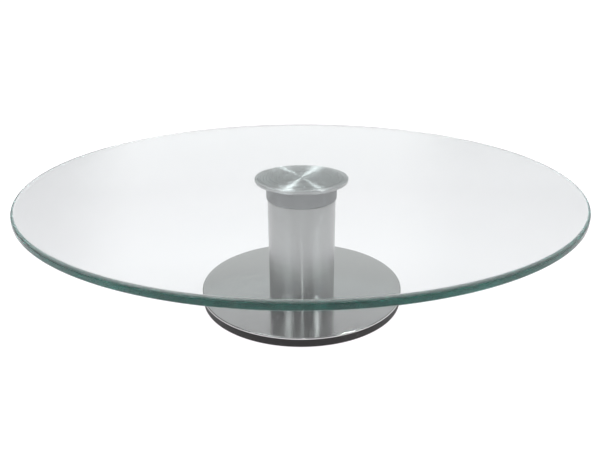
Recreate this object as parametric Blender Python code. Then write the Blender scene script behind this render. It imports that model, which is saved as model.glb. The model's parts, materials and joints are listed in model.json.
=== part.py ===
"""Glass cake turntable: a round glass plate bonded to a turned metal disc, which spins on a ball thrust
bearing at the top of a tubular column. The column stands on a weighted round base with a rubber foot ring.

Metres, +Z up along the spin axis, with the origin on the surface it stands on, under the axis.
"""

import math

import bmesh
import bpy

MM = 0.001

# Driving dimensions.
PLATE_RADIUS = 152.5 * MM
PLATE_THICKNESS = 4.0 * MM
OVERALL_HEIGHT = 77.5 * MM
BASE_RADIUS = 61.0 * MM
TUBE_RADIUS = 20.0 * MM
SPINDLE_RADIUS = 6.0 * MM
BALL_RADIUS = 1.985 * MM
BALL_COUNT = 12

CONTACT_GAP = 0.2 * MM  # left between two pieces that touch
RUNNING_GAP = 0.1 * MM  # radial clearance round the spindle

# Facets round a turned piece. Every count divides by 12, as the ball count does.
PLATE_SEGMENTS = 96
TUBE_SEGMENTS = 60
BODY_SEGMENTS = 48
CORE_SEGMENTS = 36

# Glass plate, with both rims of its edge rounded.
PLATE_EDGE_ROUND = 1.4 * MM
PLATE_TOP = OVERALL_HEIGHT
PLATE_BOTTOM = PLATE_TOP - PLATE_THICKNESS

# Cured adhesive between the plate and the disc.
FILM_THICKNESS = 0.3 * MM
FILM_TOP = PLATE_BOTTOM - CONTACT_GAP
FILM_BOTTOM = FILM_TOP - FILM_THICKNESS

# Turned disc under the glass, with a threaded boss on its underside.
DISC_RADIUS = 27.2 * MM
DISC_THICKNESS = 2.2 * MM
DISC_LOWER_ROUND = 1.5 * MM
DISC_TOP_CHAMFER = 0.25 * MM
DISC_TOP = FILM_BOTTOM - CONTACT_GAP
DISC_BOTTOM = DISC_TOP - DISC_THICKNESS
BOSS_RADIUS = 9.0 * MM
BOSS_BOTTOM = DISC_BOTTOM - 6.0 * MM
STUB_RADIUS = 3.9 * MM
STUB_HOLE_RADIUS = STUB_RADIUS + CONTACT_GAP
STUB_HOLE_TOP = DISC_BOTTOM + 0.5 * MM

# Ball thrust bearing, 12 x 26 x 9 mm.
BEARING_HEIGHT = 9.0 * MM
WASHER_RADIUS = 13.0 * MM
WASHER_THICKNESS = 2.9 * MM
UPPER_BORE_RADIUS = SPINDLE_RADIUS + RUNNING_GAP
LOWER_BORE_RADIUS = 6.6 * MM
PITCH_RADIUS = 9.5 * MM
GROOVE_RADIUS = BALL_RADIUS + 0.12 * MM
BEARING_TOP = BOSS_BOTTOM - CONTACT_GAP
BEARING_BOTTOM = BEARING_TOP - BEARING_HEIGHT
BALL_Z = (BEARING_TOP + BEARING_BOTTOM) / 2
CAGE_THICKNESS = 1.6 * MM
CAGE_INNER_RADIUS = 6.7 * MM
CAGE_OUTER_RADIUS = 12.3 * MM
POCKET_RADIUS = BALL_RADIUS + 0.2 * MM

# Bearing housing: the collar seen under the disc, and a spigot inside the tube.
COLLAR_RADIUS = 20.7 * MM
COLLAR_LOWER_ROUND = 1.2 * MM
COLLAR_TOP = DISC_BOTTOM - 0.6 * MM
COLLAR_BOTTOM = 60.6 * MM
TUBE_WALL = 1.5 * MM
TUBE_BORE_RADIUS = TUBE_RADIUS - TUBE_WALL
SPIGOT_RADIUS = TUBE_BORE_RADIUS - CONTACT_GAP
SPIGOT_BOTTOM = 36.0 * MM
SEAT_RADIUS = WASHER_RADIUS + CONTACT_GAP
SEAT_FLOOR = BEARING_BOTTOM - CONTACT_GAP

# Flanged bush that guides the spindle.
BUSH_RADIUS = 7.9 * MM
BUSH_BORE_RADIUS = SPINDLE_RADIUS + RUNNING_GAP
BUSH_HOLE_RADIUS = BUSH_RADIUS + CONTACT_GAP
BUSH_TOP = SEAT_FLOOR - 0.4 * MM
BUSH_FLANGE_RADIUS = 10.5 * MM
BUSH_FLANGE_THICKNESS = 1.5 * MM
BUSH_FLANGE_TOP = SPIGOT_BOTTOM - CONTACT_GAP
BUSH_BOTTOM = BUSH_FLANGE_TOP - BUSH_FLANGE_THICKNESS

# Wave spring, retaining washer and circlip at the spindle's lower end.
SPRING_INNER_RADIUS = 6.5 * MM
SPRING_OUTER_RADIUS = 9.2 * MM
SPRING_THICKNESS = 0.4 * MM
SPRING_WAVE = 0.35 * MM
SPRING_WAVES = 3
SPRING_Z = BUSH_BOTTOM - CONTACT_GAP - SPRING_WAVE - SPRING_THICKNESS / 2
KEEPER_RADIUS = 9.5 * MM
KEEPER_THICKNESS = 0.8 * MM
KEEPER_TOP = SPRING_Z - SPRING_WAVE - SPRING_THICKNESS / 2 - CONTACT_GAP
KEEPER_BOTTOM = KEEPER_TOP - KEEPER_THICKNESS
CLIP_THICKNESS = 1.0 * MM
CLIP_TOP = KEEPER_BOTTOM - CONTACT_GAP
CLIP_BOTTOM = CLIP_TOP - CLIP_THICKNESS
CLIP_GROOVE_RADIUS = 5.3 * MM
CLIP_INNER_RADIUS = CLIP_GROOVE_RADIUS + CONTACT_GAP
CLIP_BAND = 1.7 * MM
CLIP_LUG = 1.4 * MM
CLIP_HALF_GAP = math.radians(16)
CLIP_LUG_ANGLE = math.radians(22)
CLIP_HOLE_RADIUS = 0.6 * MM
SPINDLE_TAIL = 2.0 * MM
SPINDLE_TOP = BEARING_TOP
SPINDLE_BOTTOM = CLIP_BOTTOM - SPINDLE_TAIL

# Base: polished plate over a steel weight, standing on a rubber ring.
FOOT_RADIUS = 60.6 * MM
FOOT_INNER_RADIUS = 53.0 * MM
FOOT_HEIGHT = 4.5 * MM
FOOT_ROUND = 0.8 * MM
FOOT_RIB_DEPTH = 0.6 * MM
FOOT_RIB_WIDTH = 1.2 * MM
COVER_THICKNESS = 1.3 * MM
COVER_CHAMFER = 0.3 * MM
BASE_BOTTOM = FOOT_HEIGHT + CONTACT_GAP
BASE_TOP = BASE_BOTTOM + COVER_THICKNESS
WEIGHT_RADIUS = FOOT_INNER_RADIUS - CONTACT_GAP
WEIGHT_BOTTOM = 0.9 * MM
WEIGHT_TOP = BASE_BOTTOM - CONTACT_GAP

# Column and the bolt that holds it to the base.
TUBE_BOTTOM = BASE_TOP + CONTACT_GAP
TUBE_TOP = COLLAR_BOTTOM - CONTACT_GAP
PLUG_RADIUS = TUBE_BORE_RADIUS - CONTACT_GAP
PLUG_HEIGHT = 12.0 * MM
PLUG_CHAMFER = 1.0 * MM
BOLT_RADIUS = 4.0 * MM
BOLT_HEAD_RADIUS = 7.8 * MM
BOLT_HEAD_BOTTOM = WEIGHT_BOTTOM + 0.3 * MM
BOLT_HEAD_RIM = 0.4 * MM
BOLT_TOP = 17.0 * MM
BOLT_CHAMFER = 0.8 * MM
BOLT_HOLE_RADIUS = BOLT_RADIUS + 0.3 * MM
HEX_ACROSS_FLATS = 5.0 * MM
HEX_DEPTH = 2.8 * MM

FINISHES = {
    # name: (base colour, metallic, roughness)
    "glass": ((0.78, 0.92, 0.88, 1.0), 0.0, 0.02),
    "adhesive": ((0.90, 0.93, 0.92, 1.0), 0.0, 0.15),
    "turned_steel": ((0.62, 0.62, 0.63, 1.0), 1.0, 0.28),
    "satin_aluminium": ((0.56, 0.57, 0.58, 1.0), 1.0, 0.42),
    "brushed_steel": ((0.66, 0.66, 0.66, 1.0), 1.0, 0.25),
    "polished_steel": ((0.64, 0.64, 0.64, 1.0), 1.0, 0.12),
    "bearing_steel": ((0.55, 0.56, 0.58, 1.0), 1.0, 0.15),
    "cage_brass": ((0.78, 0.60, 0.30, 1.0), 1.0, 0.30),
    "bronze": ((0.60, 0.42, 0.24, 1.0), 1.0, 0.40),
    "plated_steel": ((0.58, 0.59, 0.60, 1.0), 1.0, 0.38),
    "black_rubber": ((0.020, 0.020, 0.021, 1.0), 0.0, 0.70),
}


def clear_scene():
    for obj in list(bpy.data.objects):
        bpy.data.objects.remove(obj, do_unlink=True)


def finish_named(name):
    """The Principled material of that name, made the first time it is asked for."""
    material = bpy.data.materials.get(name)
    if material is None:
        colour, metallic, roughness = FINISHES[name]
        material = bpy.data.materials.new(name)
        material.use_nodes = True
        shader = material.node_tree.nodes["Principled BSDF"]
        shader.inputs["Base Color"].default_value = colour
        shader.inputs["Metallic"].default_value = metallic
        shader.inputs["Roughness"].default_value = roughness
        if name == "glass":
            shader.inputs["Transmission Weight"].default_value = 1.0
            shader.inputs["IOR"].default_value = 1.52
    return material


def group(name, height=0.0):
    """An empty on the spin axis that carries the pieces of one rigid body."""
    empty = bpy.data.objects.new(name, None)
    empty.location = (0.0, 0.0, height)
    bpy.context.scene.collection.objects.link(empty)
    return empty


def piece(name, bm, finish, parent):
    """An object from a bmesh whose coordinates are measured from the floor under the axis."""
    mesh = bpy.data.meshes.new(name)
    bmesh.ops.translate(bm, verts=bm.verts, vec=(0.0, 0.0, -parent.location.z))
    bmesh.ops.recalc_face_normals(bm, faces=bm.faces)
    bm.to_mesh(mesh)
    bm.free()
    mesh.materials.append(finish_named(finish))
    mesh.shade_smooth()
    mesh.set_sharp_from_angle(angle=math.radians(30))
    obj = bpy.data.objects.new(name, mesh)
    obj.parent = parent
    bpy.context.scene.collection.objects.link(obj)
    return obj


def arc(centre_r, centre_z, radius, start, end, steps):
    """Profile points round a circle from one angle to another, in degrees, with both ends."""
    points = []
    for i in range(steps + 1):
        angle = math.radians(start + (end - start) * i / steps)
        points.append((centre_r + radius * math.cos(angle), centre_z + radius * math.sin(angle)))
    return points


def lathe(profile, segments):
    """A bmesh of the (radius, height) profile spun about Z. A profile off the axis is closed into a ring."""
    bm = bmesh.new()
    verts = [bm.verts.new((r, 0.0, z)) for r, z in profile]
    pairs = list(zip(verts, verts[1:]))
    if min(r for r, _ in profile) > 0:
        pairs.append((verts[-1], verts[0]))
    edges = [bm.edges.new(pair) for pair in pairs]
    bmesh.ops.spin(
        bm,
        geom=verts + edges,
        cent=(0, 0, 0),
        axis=(0, 0, 1),
        angle=2 * math.pi,
        steps=segments,
        use_merge=True,
    )
    bmesh.ops.remove_doubles(bm, verts=bm.verts, dist=0.0001 * MM)
    return bm


def turned(name, profile, finish, parent, segments=BODY_SEGMENTS):
    return piece(name, lathe(profile, segments), finish, parent)


def drill(target, name, holes, radius, low, high, sides):
    """Cuts prisms on vertical axes at the (x, y) places in holes out of target."""
    bm = bmesh.new()
    for x, y in holes:
        made = bmesh.ops.create_cone(
            bm, cap_ends=True, segments=sides, radius1=radius, radius2=radius, depth=high - low
        )
        bmesh.ops.translate(bm, verts=made["verts"], vec=(x, y, (low + high) / 2))
    cutter = piece(name, bm, "plated_steel", target.parent)
    cutter.hide_render = True
    cutter.display_type = "WIRE"
    cut = target.modifiers.new("drill", "BOOLEAN")
    cut.operation = "DIFFERENCE"
    cut.object = cutter


def make_plate(turntable):
    """Glass plate: flat faces and a polished edge with a rounded rim above and below."""
    edge_r = PLATE_RADIUS - PLATE_EDGE_ROUND
    lower = arc(edge_r, PLATE_BOTTOM + PLATE_EDGE_ROUND, PLATE_EDGE_ROUND, -90, 0, 3)
    upper = arc(edge_r, PLATE_TOP - PLATE_EDGE_ROUND, PLATE_EDGE_ROUND, 0, 90, 3)
    profile = [(0, PLATE_BOTTOM), *lower, *upper, (0, PLATE_TOP)]
    turned("glass_plate", profile, "glass", turntable, PLATE_SEGMENTS)


def make_disc(turntable):
    """Bond film, and the turned disc with its boss and blind threaded hole."""
    film_radius = DISC_RADIUS - DISC_TOP_CHAMFER - 0.2 * MM
    film = [(0, FILM_BOTTOM), (film_radius, FILM_BOTTOM), (film_radius, FILM_TOP), (0, FILM_TOP)]
    turned("bond_film", film, "adhesive", turntable)

    edge_r = DISC_RADIUS - DISC_LOWER_ROUND
    profile = [
        (0, STUB_HOLE_TOP),
        (STUB_HOLE_RADIUS, STUB_HOLE_TOP),
        (STUB_HOLE_RADIUS, BOSS_BOTTOM),
        (BOSS_RADIUS, BOSS_BOTTOM),
        (BOSS_RADIUS, DISC_BOTTOM),
        *arc(edge_r, DISC_BOTTOM + DISC_LOWER_ROUND, DISC_LOWER_ROUND, -90, 0, 4),
        (DISC_RADIUS, DISC_TOP - DISC_TOP_CHAMFER),
        (DISC_RADIUS - DISC_TOP_CHAMFER, DISC_TOP),
        (0, DISC_TOP),
    ]
    turned("top_disc", profile, "turned_steel", turntable)


def make_spindle(turntable):
    """Spindle: threaded stub above, journal through the bearing and bush, circlip groove below."""
    tail_chamfer = 0.8 * MM
    groove_side = 0.1 * MM
    profile = [
        (0, SPINDLE_BOTTOM),
        (SPINDLE_RADIUS - tail_chamfer, SPINDLE_BOTTOM),
        (SPINDLE_RADIUS, SPINDLE_BOTTOM + tail_chamfer),
        (SPINDLE_RADIUS, CLIP_BOTTOM - groove_side),
        (CLIP_GROOVE_RADIUS, CLIP_BOTTOM - groove_side),
        (CLIP_GROOVE_RADIUS, CLIP_TOP + groove_side),
        (SPINDLE_RADIUS, CLIP_TOP + groove_side),
        (SPINDLE_RADIUS, SPINDLE_TOP),
        (STUB_RADIUS, SPINDLE_TOP),
        (STUB_RADIUS, STUB_HOLE_TOP - 1.0 * MM),
        (STUB_RADIUS - 0.5 * MM, STUB_HOLE_TOP - 0.5 * MM),
        (0, STUB_HOLE_TOP - 0.5 * MM),
    ]
    turned("spindle", profile, "bearing_steel", turntable, CORE_SEGMENTS)


def make_thrust_washer(name, parent, bore_radius, flat_z, race_z):
    """A thrust bearing washer whose raceway groove is in the face at race_z."""
    outward = 1 if race_z > flat_z else -1
    chamfer = 0.3 * MM
    half_width = math.sqrt(GROOVE_RADIUS**2 - (BALL_Z - race_z) ** 2)
    half_angle = math.degrees(math.atan2(half_width, abs(BALL_Z - race_z)))
    towards_race = -90 * outward
    start, end = towards_race + half_angle * outward, towards_race - half_angle * outward
    groove = arc(PITCH_RADIUS, BALL_Z, GROOVE_RADIUS, start, end, 4)
    profile = [
        (bore_radius, flat_z),
        (WASHER_RADIUS - chamfer, flat_z),
        (WASHER_RADIUS, flat_z + chamfer * outward),
        (WASHER_RADIUS, race_z - chamfer * outward),
        (WASHER_RADIUS - chamfer, race_z),
        *groove,
        (bore_radius, race_z),
    ]
    turned(name, profile, "bearing_steel", parent, CORE_SEGMENTS)


def make_balls(ball_set):
    """Flat cage with a pocket for each ball, and the balls."""
    low, high = BALL_Z - CAGE_THICKNESS / 2, BALL_Z + CAGE_THICKNESS / 2
    profile = [
        (CAGE_INNER_RADIUS, low),
        (CAGE_OUTER_RADIUS, low),
        (CAGE_OUTER_RADIUS, high),
        (CAGE_INNER_RADIUS, high),
    ]
    cage = turned("ball_cage", profile, "cage_brass", ball_set, CORE_SEGMENTS)
    places = []
    for i in range(BALL_COUNT):
        angle = 2 * math.pi * i / BALL_COUNT
        places.append((PITCH_RADIUS * math.cos(angle), PITCH_RADIUS * math.sin(angle)))
    drill(cage, "cage_pockets", places, POCKET_RADIUS, low - MM, high + MM, 12)

    bm = bmesh.new()
    bmesh.ops.create_uvsphere(bm, u_segments=12, v_segments=7, radius=BALL_RADIUS)
    ball = bpy.data.meshes.new("bearing_ball")
    bm.to_mesh(ball)
    bm.free()
    ball.materials.append(finish_named("bearing_steel"))
    ball.shade_smooth()
    for i, (x, y) in enumerate(places):
        obj = bpy.data.objects.new(f"bearing_ball_{i + 1:02d}", ball)
        obj.parent = ball_set
        obj.location = (x, y, 0.0)
        bpy.context.scene.collection.objects.link(obj)


def make_housing(stand):
    """Bearing housing with its collar outside the tube, and the flanged bush pressed in from below."""
    top_chamfer = 0.5 * MM
    edge_r = COLLAR_RADIUS - COLLAR_LOWER_ROUND
    profile = [
        (BUSH_HOLE_RADIUS, SPIGOT_BOTTOM),
        (SPIGOT_RADIUS - MM, SPIGOT_BOTTOM),
        (SPIGOT_RADIUS, SPIGOT_BOTTOM + MM),
        (SPIGOT_RADIUS, COLLAR_BOTTOM),
        *arc(edge_r, COLLAR_BOTTOM + COLLAR_LOWER_ROUND, COLLAR_LOWER_ROUND, -90, 0, 3),
        (COLLAR_RADIUS, COLLAR_TOP - top_chamfer),
        (COLLAR_RADIUS - top_chamfer, COLLAR_TOP),
        (SEAT_RADIUS, COLLAR_TOP),
        (SEAT_RADIUS, SEAT_FLOOR),
        (BUSH_HOLE_RADIUS, SEAT_FLOOR),
    ]
    turned("bearing_housing", profile, "satin_aluminium", stand)

    bush = [
        (BUSH_BORE_RADIUS, BUSH_BOTTOM),
        (BUSH_FLANGE_RADIUS, BUSH_BOTTOM),
        (BUSH_FLANGE_RADIUS, BUSH_FLANGE_TOP),
        (BUSH_RADIUS, BUSH_FLANGE_TOP),
        (BUSH_RADIUS, BUSH_TOP),
        (BUSH_BORE_RADIUS, BUSH_TOP),
    ]
    turned("guide_bush", bush, "bronze", stand, CORE_SEGMENTS)


def make_retainers(turntable):
    """Wave spring that takes up the play, its washer, and the circlip in the spindle's groove."""
    low, high = SPRING_Z - SPRING_THICKNESS / 2, SPRING_Z + SPRING_THICKNESS / 2
    bm = lathe(
        [
            (SPRING_INNER_RADIUS, low),
            (SPRING_OUTER_RADIUS, low),
            (SPRING_OUTER_RADIUS, high),
            (SPRING_INNER_RADIUS, high),
        ],
        CORE_SEGMENTS,
    )
    for v in bm.verts:
        v.co.z += SPRING_WAVE * math.cos(SPRING_WAVES * math.atan2(v.co.y, v.co.x))
    piece("wave_spring", bm, "plated_steel", turntable)

    bore = SPINDLE_RADIUS + CONTACT_GAP
    keeper = [
        (bore, KEEPER_BOTTOM),
        (KEEPER_RADIUS, KEEPER_BOTTOM),
        (KEEPER_RADIUS, KEEPER_TOP),
        (bore, KEEPER_TOP),
    ]
    turned("retaining_washer", keeper, "plated_steel", turntable, CORE_SEGMENTS)
    make_circlip(turntable)


def make_circlip(turntable):
    """Open ring whose ends widen into lugs, each with a plier hole."""
    steps = 32
    start, end = CLIP_HALF_GAP, 2 * math.pi - CLIP_HALF_GAP
    outer, inner = [], []
    for i in range(steps + 1):
        angle = start + (end - start) * i / steps
        to_end = min(angle - start, end - angle)
        share = max(0.0, 1 - to_end / CLIP_LUG_ANGLE)
        widened = CLIP_INNER_RADIUS + CLIP_BAND + CLIP_LUG * math.sin(share * math.pi / 2)
        outer.append((widened * math.cos(angle), widened * math.sin(angle)))
        inner.append((CLIP_INNER_RADIUS * math.cos(angle), CLIP_INNER_RADIUS * math.sin(angle)))
    bm = bmesh.new()
    face = bm.faces.new([bm.verts.new((x, y, CLIP_BOTTOM)) for x, y in outer + inner[::-1]])
    grown = bmesh.ops.extrude_face_region(bm, geom=[face])
    lifted = [v for v in grown["geom"] if isinstance(v, bmesh.types.BMVert)]
    bmesh.ops.translate(bm, verts=lifted, vec=(0.0, 0.0, CLIP_THICKNESS))
    clip = piece("circlip", bm, "plated_steel", turntable)

    hole_r = CLIP_INNER_RADIUS + (CLIP_BAND + CLIP_LUG) / 2
    hole_angle = CLIP_HALF_GAP + CLIP_LUG_ANGLE / 3
    holes = [(hole_r * math.cos(a), hole_r * math.sin(a)) for a in (hole_angle, -hole_angle)]
    drill(clip, "circlip_holes", holes, CLIP_HOLE_RADIUS, CLIP_BOTTOM - MM, CLIP_TOP + MM, 12)


def make_column(stand):
    """Tube, and the plug in its foot that the bolt screws into."""
    edge = 0.3 * MM
    tube = [
        (TUBE_BORE_RADIUS, TUBE_BOTTOM),
        (TUBE_RADIUS, TUBE_BOTTOM),
        (TUBE_RADIUS, TUBE_TOP - edge),
        (TUBE_RADIUS - edge, TUBE_TOP),
        (TUBE_BORE_RADIUS, TUBE_TOP),
    ]
    turned("column_tube", tube, "brushed_steel", stand, TUBE_SEGMENTS)

    top = TUBE_BOTTOM + PLUG_HEIGHT
    plug = [
        (BOLT_HOLE_RADIUS, TUBE_BOTTOM),
        (PLUG_RADIUS, TUBE_BOTTOM),
        (PLUG_RADIUS, top - PLUG_CHAMFER),
        (PLUG_RADIUS - PLUG_CHAMFER, top),
        (BOLT_HOLE_RADIUS, top),
    ]
    turned("tube_plug", plug, "plated_steel", stand, CORE_SEGMENTS)


def make_base(stand):
    """Polished plate, weight and rubber ring, held to the column by one countersunk bolt."""
    cone_top = BOLT_HEAD_BOTTOM + BOLT_HEAD_RIM + BOLT_HEAD_RADIUS - BOLT_RADIUS
    bolt = [
        (0, BOLT_HEAD_BOTTOM),
        (BOLT_HEAD_RADIUS, BOLT_HEAD_BOTTOM),
        (BOLT_HEAD_RADIUS, BOLT_HEAD_BOTTOM + BOLT_HEAD_RIM),
        (BOLT_RADIUS, cone_top),
        (BOLT_RADIUS, BOLT_TOP - BOLT_CHAMFER),
        (BOLT_RADIUS - BOLT_CHAMFER, BOLT_TOP),
        (0, BOLT_TOP),
    ]
    screw = turned("base_bolt", bolt, "plated_steel", stand, CORE_SEGMENTS)
    corner_radius = HEX_ACROSS_FLATS / math.sqrt(3)
    socket_top = BOLT_HEAD_BOTTOM + HEX_DEPTH
    drill(screw, "hex_socket", [(0, 0)], corner_radius, BOLT_HEAD_BOTTOM - MM, socket_top, 6)

    sink_radius = BOLT_HEAD_RADIUS + CONTACT_GAP
    sink_foot = BOLT_HEAD_BOTTOM + BOLT_HEAD_RIM
    sink_height = WEIGHT_TOP - sink_foot
    edge = 0.4 * MM
    weight = [
        (sink_radius + edge, WEIGHT_BOTTOM),
        (WEIGHT_RADIUS - edge, WEIGHT_BOTTOM),
        (WEIGHT_RADIUS, WEIGHT_BOTTOM + edge),
        (WEIGHT_RADIUS, WEIGHT_TOP),
        (sink_radius + edge - sink_height, WEIGHT_TOP),
        (sink_radius + edge, sink_foot),
    ]
    turned("base_weight", weight, "plated_steel", stand)

    cover_hole = BOLT_RADIUS + 1.2 * MM
    cover = [
        (cover_hole, BASE_BOTTOM),
        (BASE_RADIUS - COVER_CHAMFER, BASE_BOTTOM),
        (BASE_RADIUS, BASE_BOTTOM + COVER_CHAMFER),
        (BASE_RADIUS, BASE_TOP - COVER_CHAMFER),
        (BASE_RADIUS - COVER_CHAMFER, BASE_TOP),
        (cover_hole, BASE_TOP),
    ]
    turned("base_plate", cover, "polished_steel", stand, PLATE_SEGMENTS)
    make_foot_ring(stand)


def make_foot_ring(stand):
    """Rubber ring with two grooves in the face that it stands on."""
    outer_r = FOOT_RADIUS - FOOT_ROUND
    width = FOOT_RADIUS - FOOT_INNER_RADIUS
    profile = [(FOOT_INNER_RADIUS, 0.0)]
    for share in (0.33, 0.66):
        middle = FOOT_INNER_RADIUS + width * share
        low, high = middle - FOOT_RIB_WIDTH / 2, middle + FOOT_RIB_WIDTH / 2
        profile += [(low, 0.0), (low, FOOT_RIB_DEPTH), (high, FOOT_RIB_DEPTH), (high, 0.0)]
    profile += arc(outer_r, FOOT_ROUND, FOOT_ROUND, -90, 0, 3)
    profile += [(FOOT_RADIUS, FOOT_HEIGHT), (FOOT_INNER_RADIUS, FOOT_HEIGHT)]
    turned("foot_ring", profile, "black_rubber", stand)


def main():
    clear_scene()
    stand = group("stand")
    turntable = group("turntable")
    ball_set = group("ball_set", BALL_Z)

    make_base(stand)
    make_column(stand)
    make_housing(stand)
    lower_race = BEARING_BOTTOM + WASHER_THICKNESS
    make_thrust_washer("lower_thrust_washer", stand, LOWER_BORE_RADIUS, BEARING_BOTTOM, lower_race)
    make_balls(ball_set)
    upper_race = BEARING_TOP - WASHER_THICKNESS
    make_thrust_washer("upper_thrust_washer", turntable, UPPER_BORE_RADIUS, BEARING_TOP, upper_race)
    make_spindle(turntable)
    make_retainers(turntable)
    make_disc(turntable)
    make_plate(turntable)


main()
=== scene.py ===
"""Looks for a glass cake turntable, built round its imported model.

The turned pieces that show are made again with fine facets and small edge rounds, at the sizes of the nodes
that they stand for. The inner pieces keep their own meshes. Every material is procedural.
"""

import json
import math

import bmesh
import bpy
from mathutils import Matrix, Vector


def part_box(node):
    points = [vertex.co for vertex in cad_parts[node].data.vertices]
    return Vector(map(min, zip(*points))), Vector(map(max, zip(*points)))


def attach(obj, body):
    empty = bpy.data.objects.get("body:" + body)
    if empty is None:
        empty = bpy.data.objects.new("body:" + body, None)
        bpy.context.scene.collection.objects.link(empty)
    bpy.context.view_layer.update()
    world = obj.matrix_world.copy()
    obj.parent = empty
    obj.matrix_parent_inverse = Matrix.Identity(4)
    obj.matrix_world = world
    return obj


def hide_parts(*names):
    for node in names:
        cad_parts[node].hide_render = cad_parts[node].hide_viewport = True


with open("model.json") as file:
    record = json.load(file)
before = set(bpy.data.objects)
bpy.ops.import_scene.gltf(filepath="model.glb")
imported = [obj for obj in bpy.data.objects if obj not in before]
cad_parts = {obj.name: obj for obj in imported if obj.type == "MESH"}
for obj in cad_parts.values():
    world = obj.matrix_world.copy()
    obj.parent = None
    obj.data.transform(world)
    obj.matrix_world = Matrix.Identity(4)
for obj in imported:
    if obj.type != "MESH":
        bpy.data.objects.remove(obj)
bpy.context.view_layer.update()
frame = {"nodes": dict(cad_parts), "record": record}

MM = 0.001

FINE = 288  # facets round the glass, the base and the foot
ROUND = 192  # facets round the smaller turned pieces
SHARP_ANGLE = math.radians(32)
SUPPORT = 0.12 * MM  # how far inside a flat's ends its supporting points lie

# Glass.
GLASS_EDGE_ROUND = 1.5 * MM
GLASS_LOWER_ROUND = 0.8 * MM
GLASS_EDGE_STEPS = 10
GLASS_COLOUR = (0.14, 0.54, 0.50, 1.0)  # what the glass lets through along its length
GLASS_DENSITY = 18.0
GLASS_SHADOW = (0.93, 0.955, 0.95)  # tint of the lamps' light that has passed through its thickness
GLASS_BOUNCES = 64  # light that enters the glass's edge bounces many times between its faces

# The glass's edge is ground at the top and less rough below. The roughness fades in between two shares of
# the edge's round, measured in from the rim, and between two shares of the ground depth, measured down.
GROUND_DEPTH = 1.4 * MM
GROUND_ROUGHNESS = 0.6
EDGE_ROUGHNESS = 0.14
GROUND_RIM_SHARES = (1.0, 0.85)
GROUND_DEPTH_SHARES = (1.0, 0.2)

# Disc under the glass.
DISC_THICKNESS = 2.2 * MM
DISC_LOWER_ROUND = 1.5 * MM
DISC_UPPER_ROUND = 0.1 * MM
BOSS_RADIUS = 9.0 * MM
SMALL_ROUND = 0.25 * MM

# Collar, with a spigot inside the tube and a bore for the bearing.
COLLAR_ROUND = 1.2 * MM
COLLAR_GAP = 0.02 * MM  # between the tube's top and the collar that sits on it
SPIGOT_GAP = 0.2 * MM
SEAT_RADIUS = 13.2 * MM
SEAT_DEPTH = 14.8 * MM
BUSH_HOLE_RADIUS = 8.1 * MM

# Tube.
TUBE_WALL = 1.5 * MM
TUBE_TUCK = 0.15 * MM  # how far the tube's outside reaches below its inner rim, to close the gap to the base

# Base and foot.
COVER_ROUND = 0.6 * MM
BOLT_HOLE_RADIUS = 5.2 * MM
FOOT_ROUND = 0.8 * MM
FOOT_INNER_RADIUS = 53.0 * MM
GROOVE_SHARES = (0.33, 0.66)  # where the foot's grooves lie between its inner and outer radius
GROOVE_RADIUS = 0.55 * MM
GROOVE_REACH = 0.6 * MM  # from a groove's middle to the flat beside it

# Noise mostly lies between these values.
NOISE_LOW = 0.3
NOISE_HIGH = 0.7

# The surroundings' brightness goes by how high a direction looks (the sine of its elevation).
WORLD_BY_HEIGHT = (
    (0.19, 0.95),
    (0.233, 0.74),
    (0.287, 0.50),
    (0.34, 0.60),
    (0.40, 0.80),
    (0.47, 0.58),
    (0.53, 0.42),
    (0.64, 0.35),
    (0.87, 0.25),
)
# Each of these is (from, to) of a direction's X or Y and the factor at each end.
WORLD_LEFT = (-0.43, -0.27, 0.20, 1.0)
WORLD_RIGHT = (0.14, 0.28, 1.0, 0.68)
WORLD_FRONT = (-0.30, 0.30, 0.21, 1.0)
BACKDROP = 1.05

# The floor's glow as (from, to) along Y in metres and the glow at each end, and how the card on it dims to
# the front and to each side.
FLOOR_RADIUS = 6.0
FLOOR_SEGMENTS = 96
FLOOR_ALBEDO = 0.06
FLOOR_COLOUR = (1.015, 0.985, 1.01, 1.0)
FLOOR_GLOW = (0.0, 0.25, 0.98, 1.17)
CARD_FRONT = (-0.50, -0.15, 0.43, 1.0)
CARD_SIDES = (0.20, 0.40, 1.0, 0.45)
CARD_REACH = 2.0
CARD_HEIGHT = 0.5 * MM

# Lights, each as its place, its size and its brightness. Every light faces the column's middle.
LIGHT_TARGET = Vector((0.0, 0.0, 0.04))
LEFT_SOFTBOX = ((-0.38, 0.0, 1.0), (0.18, 0.24), 95.0)
RIGHT_LAMP = ((0.525, 0.0, 1.04), (0.08, 0.04), 900.0)

# A strip light stands in front, and shows as a line in the polished steel.
STRIP_ANGLE = math.radians(2.0)
STRIP_DISTANCE = 1.5
STRIP_HEIGHT = 1.05
STRIP_SIZE = (0.05, 1.0)
STRIP_RADIANCE = 7.0

# Camera, from the photograph's viewing angle.
CAMERA_PLACE = (0.0026, -0.3216, 0.1693)
CAMERA_DOWN = math.radians(21.36)
CAMERA_LENS = 33.8


# ---------------------------------------------------------------- mesh helpers


def arc(centre_r, centre_z, radius, start, end, steps):
    """Profile points round a circle between two angles, in degrees, with both ends."""
    points = []
    for i in range(steps + 1):
        angle = math.radians(start + (end - start) * i / steps)
        points.append((centre_r + radius * math.cos(angle), centre_z + radius * math.sin(angle)))
    return points


def outer_corner(r, z, radius, upper, steps=4):
    """A rounded convex corner at (r, z) on a piece's outside, run anticlockwise."""
    if upper:
        return arc(r - radius, z - radius, radius, 0, 90, steps)
    return arc(r - radius, z + radius, radius, -90, 0, steps)


def with_support(profile, closed):
    """The profile with a point just inside each end of its long straights, so that flats shade flat."""
    points = []
    ends = profile[1:] + profile[:1] if closed else profile[1:]
    for start, end in zip(profile, ends):
        points.append(start)
        a, b = Vector(start), Vector(end)
        if (b - a).length > 4 * SUPPORT:
            step = (b - a).normalized() * SUPPORT
            points += [tuple(a + step), tuple(b - step)]
    return points if closed else [*points, profile[-1]]


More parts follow.
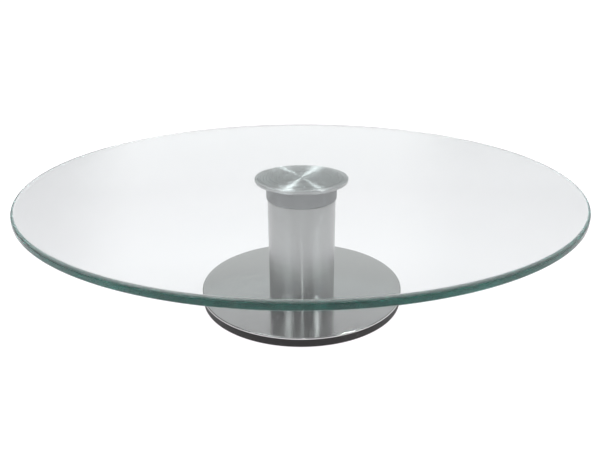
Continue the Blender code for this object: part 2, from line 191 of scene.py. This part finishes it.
def ring_of(bm, radius, height, segments):
    """Points round the axis at one radius and height, or the single point where the radius is 0."""
    if radius == 0:
        return [bm.verts.new((0.0, 0.0, height))]
    angles = [2 * math.pi * i / segments for i in range(segments)]
    return [bm.verts.new((radius * math.cos(angle), radius * math.sin(angle), height)) for angle in angles]


def turned(name, profile, segments, body, replaces):
    """A piece spun from its (radius, height) profile, riding on body in place of the named CAD nodes.

    The profile runs anticlockwise, so up its outer side."""
    hollow = min(r for r, _ in profile) > 0
    profile = with_support(profile, hollow)
    bm = bmesh.new()
    rings = [ring_of(bm, r, z, segments) for r, z in profile]
    following = [*rings[1:], rings[0]] if hollow else rings[1:]
    for ring, above in zip(rings, following):
        for i in range(segments):
            j = i + 1
            corners = (ring[i % len(ring)], ring[j % len(ring)], above[j % len(above)], above[i % len(above)])
            bm.faces.new(dict.fromkeys(corners))
    return piece(name, bm, body, replaces)


def piece(name, bm, body, replaces):
    """A piece with smooth shading and sharp creases, riding on body in place of the named CAD nodes."""
    mesh = bpy.data.meshes.new(name)
    bm.to_mesh(mesh)
    bm.free()
    mesh.shade_smooth()
    mesh.set_sharp_from_angle(angle=SHARP_ANGLE)
    obj = bpy.data.objects.new(name, mesh)
    bpy.context.scene.collection.objects.link(obj)
    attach(obj, body)
    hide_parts(*replaces)
    return obj


def radius_of(node):
    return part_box(node)[1].x


def heights_of(node):
    low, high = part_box(node)
    return low.z, high.z


# ---------------------------------------------------------------- material helpers


class Graph:
    """A node tree under construction."""

    def __init__(self, tree):
        self.nodes = tree.nodes
        self.links = tree.links

    def node(self, kind, **inputs):
        """A new node. Each named input gets a value, or a link if it is given a socket."""
        node = self.nodes.new(kind)
        for name, value in inputs.items():
            self.feed(node, name.replace("_", " "), value)
        return node

    def feed(self, node, socket, value):
        if isinstance(value, bpy.types.NodeSocket):
            self.links.new(value, node.inputs[socket])
        else:
            node.inputs[socket].default_value = value

    def math(self, operation, *values):
        node = self.nodes.new("ShaderNodeMath")
        node.operation = operation
        for index, value in enumerate(values):
            self.feed(node, index, value)
        return node.outputs["Value"]

    def ramp(self, value, start, end, low, high, interpolation="LINEAR"):
        """value, from start to end, mapped onto low to high."""
        node = self.node(
            "ShaderNodeMapRange",
            Value=value,
            From_Min=start,
            From_Max=end,
            To_Min=low,
            To_Max=high,
        )
        node.interpolation_type = interpolation
        return node.outputs["Result"]

    def mixed(self, factor, first, second):
        """The first shader where factor is 0, and the second where it is 1."""
        mix = self.node("ShaderNodeMixShader", Fac=factor)
        self.feed(mix, 1, first)
        self.feed(mix, 2, second)
        return mix.outputs["Shader"]

    def split(self, vector):
        """The vector's X, Y and Z."""
        outputs = self.node("ShaderNodeSeparateXYZ", Vector=vector).outputs
        return outputs["X"], outputs["Y"], outputs["Z"]


class Finish(Graph):
    """A material under construction: one Principled shader and what feeds it."""

    def __init__(self, name, colour, metallic, roughness):
        self.material = bpy.data.materials.new(name)
        self.material.use_nodes = True
        super().__init__(self.material.node_tree)
        self.shader = self.nodes["Principled BSDF"]
        self.output = self.nodes["Material Output"]
        self.set("Base Color", (*colour, 1.0))
        self.set("Metallic", metallic)
        self.set("Roughness", roughness)

    def set(self, socket, value):
        """A number or colour for the shader's socket, or a link to it."""
        self.feed(self.shader, socket, value)

    def place(self):
        """Where a point is in the object's own space, in metres."""
        return self.node("ShaderNodeTexCoord").outputs["Object"]

    def radius(self):
        """A point's distance from the Z axis, and its height."""
        x, y, z = self.split(self.place())
        squares = self.math("ADD", self.math("MULTIPLY", x, x), self.math("MULTIPLY", y, y))
        return self.math("SQRT", squares), z

    def rings(self, around, across):
        """Coordinates for marks made on a lathe: long round the axis, fine along the radius and height."""
        radius, height = self.radius()
        x, y, _ = self.split(self.place())
        return self.node(
            "ShaderNodeCombineXYZ",
            X=self.math("MULTIPLY", x, around),
            Y=self.math("MULTIPLY", y, around),
            Z=self.math("MULTIPLY", self.math("ADD", radius, height), across),
        ).outputs["Vector"]

    def noise(self, vector, scale=1.0, detail=3.0):
        node = self.node("ShaderNodeTexNoise", Vector=vector, Scale=scale, Detail=detail, Roughness=0.55)
        return node.outputs["Fac"]

    def tint(self, noise, dark, light):
        """Base colour that runs from dark to light with a noise."""
        stops = self.node("ShaderNodeValToRGB", Fac=noise)
        first, last = stops.color_ramp.elements
        first.position = NOISE_LOW
        first.color = (*dark, 1.0)
        last.position = NOISE_HIGH
        last.color = (*light, 1.0)
        self.set("Base Color", stops.outputs["Color"])

    def rough(self, noise, low, high):
        self.set("Roughness", self.ramp(noise, NOISE_LOW, NOISE_HIGH, low, high))

    def bump(self, height, distance):
        node = self.node("ShaderNodeBump", Height=height, Distance=distance, Strength=1.0)
        self.set("Normal", node.outputs["Normal"])

    def lets_light_through(self, tint):
        """Lamps light what is behind or under the piece, in that tint, instead of being blocked by it."""
        clear = self.node("ShaderNodeBsdfTransparent", Color=(*tint, 1.0))
        path = self.nodes.new("ShaderNodeLightPath")
        soft = self.math("MAXIMUM", path.outputs["Is Shadow Ray"], path.outputs["Is Diffuse Ray"])
        surface = self.mixed(soft, self.shader.outputs["BSDF"], clear.outputs["BSDF"])
        self.feed(self.output, "Surface", surface)

    def grooved(self, amount):
        """Stretches highlights across grooves that run round the Z axis."""
        tangent = self.nodes.new("ShaderNodeTangent")
        tangent.direction_type = "RADIAL"
        tangent.axis = "Z"
        self.set("Tangent", tangent.outputs["Tangent"])
        self.set("Anisotropic", amount)
        self.set("Anisotropic Rotation", 0.25)


# ---------------------------------------------------------------- materials


def glass_material(radius, top):
    """Float glass: clear through its thickness, green along its length, and ground along its upper edge."""
    finish = Finish("glass", (1.0, 1.0, 1.0), 0.0, 0.0)
    finish.set("Transmission Weight", 1.0)
    finish.set("IOR", 1.52)
    distance, height = finish.radius()
    inner, outer = (radius - share * GLASS_EDGE_ROUND for share in GROUND_RIM_SHARES)
    lower, upper = (top - share * GROUND_DEPTH for share in GROUND_DEPTH_SHARES)
    rim = finish.ramp(distance, inner, outer, 0.0, 1.0)
    edge = finish.ramp(height, lower, upper, EDGE_ROUGHNESS, GROUND_ROUGHNESS)
    smudges = finish.noise(finish.place(), scale=24.0, detail=4.0)
    smear = finish.ramp(smudges, NOISE_LOW, NOISE_HIGH, 0.0, 0.012)
    finish.set("Roughness", finish.math("ADD", finish.math("MULTIPLY", rim, edge), smear))
    finish.lets_light_through(GLASS_SHADOW)

    inside = finish.node("ShaderNodeVolumeAbsorption", Color=GLASS_COLOUR, Density=GLASS_DENSITY)
    finish.feed(finish.output, "Volume", inside.outputs["Volume"])
    return finish.material


def adhesive_material():
    """Cured clear adhesive, nearly unseen between the glass and the disc."""
    finish = Finish("adhesive", (1.0, 1.0, 1.0), 0.0, 0.02)
    finish.set("Transmission Weight", 1.0)
    finish.set("IOR", 1.05)
    bubbles = finish.noise(finish.place(), scale=900.0, detail=2.0)
    finish.rough(bubbles, 0.01, 0.04)
    finish.lets_light_through((1.0, 1.0, 1.0))
    return finish.material


def turned_steel_material():
    """Steel faced off on a lathe: fine rings that throw the lights into bright spokes."""
    finish = Finish("turned_steel", (0.55, 0.55, 0.56), 1.0, 0.275)
    finish.grooved(1.0)
    rings = finish.noise(finish.rings(8.0, 2600.0), detail=3.0)
    finish.tint(rings, (0.50, 0.50, 0.51), (0.60, 0.60, 0.61))
    finish.rough(rings, 0.26, 0.29)
    finish.bump(rings, distance=0.000003)
    return finish.material


def brushed_tube_material():
    """Stainless tube polished round its girth, so that reflections smear along its length."""
    finish = Finish("brushed_tube", (0.51, 0.51, 0.51), 1.0, 0.25)
    finish.grooved(1.0)
    marks = finish.noise(finish.rings(30.0, 5200.0), detail=4.0)
    finish.tint(marks, (0.50, 0.50, 0.50), (0.52, 0.52, 0.52))
    finish.rough(marks, 0.24, 0.26)
    return finish.material


def satin_aluminium_material():
    finish = Finish("satin_aluminium", (0.27, 0.27, 0.28), 1.0, 0.5)
    grain = finish.noise(finish.place(), scale=4200.0, detail=2.0)
    broad = finish.noise(finish.place(), scale=120.0, detail=2.0)
    finish.tint(broad, (0.25, 0.25, 0.26), (0.28, 0.28, 0.29))
    finish.rough(grain, 0.46, 0.56)
    finish.bump(grain, distance=0.00002)
    return finish.material


def polished_steel_material():
    """Mirror-polished plate with faint circular polishing marks."""
    finish = Finish("polished_steel", (0.68, 0.68, 0.68), 1.0, 0.14)
    marks = finish.noise(finish.rings(40.0, 2400.0), detail=3.0)
    wear = finish.noise(finish.place(), scale=60.0, detail=4.0)
    finish.tint(wear, (0.70, 0.70, 0.70), (0.73, 0.73, 0.73))
    finish.rough(wear, 0.12, 0.16)
    finish.bump(marks, distance=0.0000003)
    return finish.material


def rubber_material():
    finish = Finish("black_rubber", (0.022, 0.021, 0.021), 0.0, 0.62)
    grain = finish.noise(finish.place(), scale=2600.0, detail=3.0)
    patches = finish.noise(finish.place(), scale=80.0, detail=3.0)
    finish.tint(patches, (0.016, 0.0155, 0.0155), (0.030, 0.029, 0.029))
    finish.rough(patches, 0.55, 0.70)
    finish.bump(grain, distance=0.00003)
    return finish.material


def plated_steel_material():
    finish = Finish("plated_steel", (0.58, 0.59, 0.60), 1.0, 0.38)
    spangle = finish.noise(finish.place(), scale=260.0, detail=4.0)
    finish.tint(spangle, (0.52, 0.53, 0.55), (0.63, 0.64, 0.64))
    finish.rough(spangle, 0.32, 0.46)
    finish.bump(spangle, distance=0.00001)
    return finish.material


def ground_steel_material():
    finish = Finish("ground_steel", (0.55, 0.56, 0.58), 1.0, 0.14)
    marks = finish.noise(finish.rings(60.0, 3000.0), detail=2.0)
    finish.tint(marks, (0.52, 0.53, 0.55), (0.58, 0.59, 0.61))
    finish.rough(marks, 0.10, 0.20)
    return finish.material


def cast_metal_material(name, dark, light, roughness):
    """Soft metal with a slightly patchy surface."""
    finish = Finish(name, light, 1.0, roughness)
    patches = finish.noise(finish.place(), scale=700.0, detail=4.0)
    finish.tint(patches, dark, light)
    finish.rough(patches, roughness - 0.05, roughness + 0.08)
    finish.bump(patches, distance=0.00001)
    return finish.material


MATERIALS = {
    "glass": glass_material(radius_of("glass_plate"), heights_of("glass_plate")[1]),
    "adhesive": adhesive_material(),
    "turned_steel": turned_steel_material(),
    "satin_aluminium": satin_aluminium_material(),
    "brushed_steel": brushed_tube_material(),
    "polished_steel": polished_steel_material(),
    "bearing_steel": ground_steel_material(),
    "cage_brass": cast_metal_material("cage_brass", (0.62, 0.44, 0.20), (0.78, 0.60, 0.30), 0.30),
    "bronze": cast_metal_material("bronze", (0.44, 0.28, 0.15), (0.60, 0.42, 0.24), 0.42),
    "plated_steel": plated_steel_material(),
    "black_rubber": rubber_material(),
}


def coat(obj, slot):
    """The material of that slot of the record, in place of any other."""
    obj.data.materials.clear()
    obj.data.materials.append(MATERIALS[slot])


def dress(obj, slot):
    """The material of that slot, for a new piece."""
    coat(obj, slot)


# ---------------------------------------------------------------- pieces that show


def make_glass():
    radius = radius_of("glass_plate")
    low, high = heights_of("glass_plate")
    lower = outer_corner(radius, low, GLASS_LOWER_ROUND, False, GLASS_EDGE_STEPS)
    upper = outer_corner(radius, high, GLASS_EDGE_ROUND, True, GLASS_EDGE_STEPS)
    plate = turned("glass_top", [(0, low), *lower, *upper, (0, high)], FINE, "turntable", ["glass_plate"])
    dress(plate, "glass")


def make_film():
    radius = radius_of("bond_film")
    low, high = heights_of("bond_film")
    profile = [(0, low), (radius, low), (radius, high), (0, high)]
    film = turned("bond_layer", profile, ROUND, "turntable", ["bond_film"])
    dress(film, "adhesive")


def make_disc():
    radius = radius_of("top_disc")
    boss_low, high = heights_of("top_disc")
    low = high - DISC_THICKNESS
    profile = [
        (0, boss_low),
        *outer_corner(BOSS_RADIUS, boss_low, SMALL_ROUND, False),
        (BOSS_RADIUS, low),
        *outer_corner(radius, low, DISC_LOWER_ROUND, False, 8),
        *outer_corner(radius, high, DISC_UPPER_ROUND, True),
        (0, high),
    ]
    disc = turned("turned_disc", profile, ROUND, "turntable", ["top_disc"])
    dress(disc, "turned_steel")


def make_collar():
    radius = radius_of("bearing_housing")
    low, high = heights_of("bearing_housing")
    tube_top = heights_of("column_tube")[1]
    spigot = radius_of("column_tube") - TUBE_WALL - SPIGOT_GAP
    profile = [
        (BUSH_HOLE_RADIUS, low),
        (spigot, low),
        (spigot, tube_top + COLLAR_GAP),
        *outer_corner(radius, tube_top + COLLAR_GAP, COLLAR_ROUND, False, 6),
        *outer_corner(radius, high, SMALL_ROUND, True),
        (SEAT_RADIUS, high),
        (SEAT_RADIUS, high - SEAT_DEPTH),
        (BUSH_HOLE_RADIUS, high - SEAT_DEPTH),
    ]
    collar = turned("collar", profile, ROUND, "stand", ["bearing_housing"])
    dress(collar, "satin_aluminium")


def make_tube():
    radius = radius_of("column_tube")
    low, high = heights_of("column_tube")
    bore = radius - TUBE_WALL
    profile = [
        (bore, low),
        (radius, low - TUBE_TUCK),
        *outer_corner(radius, high, SMALL_ROUND, True),
        (bore, high),
    ]
    tube = turned("column", profile, ROUND, "stand", ["column_tube"])
    dress(tube, "brushed_steel")


def make_base():
    radius = radius_of("base_plate")
    low, high = heights_of("base_plate")
    profile = [
        (BOLT_HOLE_RADIUS, low),
        *outer_corner(radius, low, COVER_ROUND, False),
        *outer_corner(radius, high, COVER_ROUND, True),
        (BOLT_HOLE_RADIUS, high),
    ]
    plate = turned("base_cover", profile, FINE, "stand", ["base_plate"])
    dress(plate, "polished_steel")


def make_foot():
    radius = radius_of("foot_ring")
    high = heights_of("foot_ring")[1]
    profile = [(FOOT_INNER_RADIUS, 0.0)]
    for share in GROOVE_SHARES:
        middle = FOOT_INNER_RADIUS + (radius - FOOT_INNER_RADIUS) * share
        profile.append((middle - GROOVE_REACH, 0.0))
        profile += arc(middle, 0.0, GROOVE_RADIUS, 180, 0, 6)
        profile.append((middle + GROOVE_REACH, 0.0))
    profile += outer_corner(radius, 0.0, FOOT_ROUND, False, 5)
    profile += [(radius, high), (FOOT_INNER_RADIUS, high)]
    foot = turned("rubber_foot", profile, FINE, "stand", ["foot_ring"])
    dress(foot, "black_rubber")


# ---------------------------------------------------------------- studio


def glowing(name, albedo):
    """A pale surface that glows a little, as a lit table does."""
    finish = Finish(name, (albedo, albedo, albedo), 0.0, 0.9)
    finish.set("Specular IOR Level", 0.0)
    finish.set("Emission Color", FLOOR_COLOUR)
    return finish


def stage_piece(name, bm, material):
    mesh = bpy.data.meshes.new(name)
    bm.to_mesh(mesh)
    bm.free()
    mesh.materials.append(material)
    obj = bpy.data.objects.new(name, mesh)
    bpy.context.scene.collection.objects.link(obj)
    return obj


def make_floor():
    bm = bmesh.new()
    bmesh.ops.create_circle(bm, cap_ends=True, segments=FLOOR_SEGMENTS, radius=FLOOR_RADIUS)
    finish = glowing("floor", FLOOR_ALBEDO)
    _, y, _ = finish.split(finish.place())
    finish.set("Emission Strength", finish.ramp(y, *FLOOR_GLOW))
    stage_piece("floor", bm, finish.material)


def make_card():
    """A card on the floor that dims away from the object's middle, and is seen only in its reflections."""
    bm = bmesh.new()
    corners = ((-1, -1), (1, -1), (1, 1), (-1, 1))
    bm.faces.new([bm.verts.new((x * CARD_REACH, y * CARD_REACH, CARD_HEIGHT)) for x, y in corners])
    finish = glowing("card", 0.0)
    x, y, _ = finish.split(finish.place())
    in_front = finish.ramp(y, *CARD_FRONT)
    aside = finish.ramp(finish.math("ABSOLUTE", x), *CARD_SIDES)
    dimmed = finish.math("MULTIPLY", in_front, aside)
    finish.set("Emission Strength", finish.math("MULTIPLY", finish.ramp(y, *FLOOR_GLOW), dimmed))
    card = stage_piece("card", bm, finish.material)
    card.visible_camera = False
    card.visible_diffuse = False
    card.visible_transmission = False
    card.visible_shadow = False


def make_world():
    """Soft surroundings: a bright low band behind the object, dimmer at its sides and above, and a plain pale
    backdrop wherever the camera looks past the floor."""
    world = bpy.data.worlds.new("studio")
    world.use_nodes = True
    bpy.context.scene.world = world
    graph = Graph(world.node_tree)
    backdrop = graph.nodes["Background"]
    graph.feed(backdrop, "Color", (1.0, 1.0, 1.0, 1.0))
    graph.feed(backdrop, "Strength", BACKDROP)

    across, along, up = graph.split(graph.node("ShaderNodeTexCoord").outputs["Generated"])
    by_height = graph.node("ShaderNodeValToRGB", Fac=up)
    stops = by_height.color_ramp.elements
    while len(stops) < len(WORLD_BY_HEIGHT):
        stops.new(0.5)
    for stop, (height, level) in zip(stops, WORLD_BY_HEIGHT):
        stop.position = height
        stop.color = (level, level, level, 1.0)
    strength = by_height.outputs["Color"]
    for value, limits in ((along, WORLD_FRONT), (across, WORLD_LEFT), (across, WORLD_RIGHT)):
        strength = graph.math("MULTIPLY", strength, graph.ramp(value, *limits, "SMOOTHSTEP"))

    studio = graph.node("ShaderNodeBackground", Strength=strength)
    seen = graph.node("ShaderNodeLightPath").outputs["Is Camera Ray"]
    surface = graph.mixed(seen, studio.outputs["Background"], backdrop.outputs["Background"])
    graph.feed(graph.nodes["World Output"], "Surface", surface)


def softbox(name, place, size, radiance):
    """A rectangular light that faces the column's middle. Its power follows from its brightness and size."""
    light = bpy.data.lights.new(name, "AREA")
    light.shape = "RECTANGLE"
    light.size, light.size_y = size
    light.energy = radiance * math.pi * size[0] * size[1]
    obj = bpy.data.objects.new(name, light)
    obj.location = place
    aim = LIGHT_TARGET - Vector(place)
    obj.rotation_euler = aim.to_track_quat("-Z", "Y").to_euler()
    obj.visible_camera = False
    obj.visible_transmission = False
    bpy.context.scene.collection.objects.link(obj)


def make_lights():
    softbox("left_softbox", *LEFT_SOFTBOX)
    softbox("right_lamp", *RIGHT_LAMP)
    x = STRIP_DISTANCE * math.sin(STRIP_ANGLE)
    y = -STRIP_DISTANCE * math.cos(STRIP_ANGLE)
    softbox("strip_1", (x, y, STRIP_HEIGHT), STRIP_SIZE, STRIP_RADIANCE)


def make_camera():
    camera = bpy.data.cameras.new("camera")
    camera.lens = CAMERA_LENS
    obj = bpy.data.objects.new("camera", camera)
    obj.location = CAMERA_PLACE
    obj.rotation_euler = (math.radians(90) - CAMERA_DOWN, 0.0, 0.0)
    bpy.context.scene.collection.objects.link(obj)
    bpy.context.scene.camera = obj


def main():
    scene = bpy.context.scene
    scene.view_settings.view_transform = "Standard"
    scene.cycles.max_bounces = GLASS_BOUNCES
    scene.cycles.transmission_bounces = GLASS_BOUNCES
    scene.cycles.glossy_bounces = GLASS_BOUNCES

    make_glass()
    make_film()
    make_disc()
    make_collar()
    make_tube()
    make_base()
    make_foot()
    for entry in frame["record"]["subparts"]:
        coat(frame["nodes"][entry["node"]], entry["material_slot"])

    make_floor()
    make_card()
    make_world()
    make_lights()
    make_camera()


main()
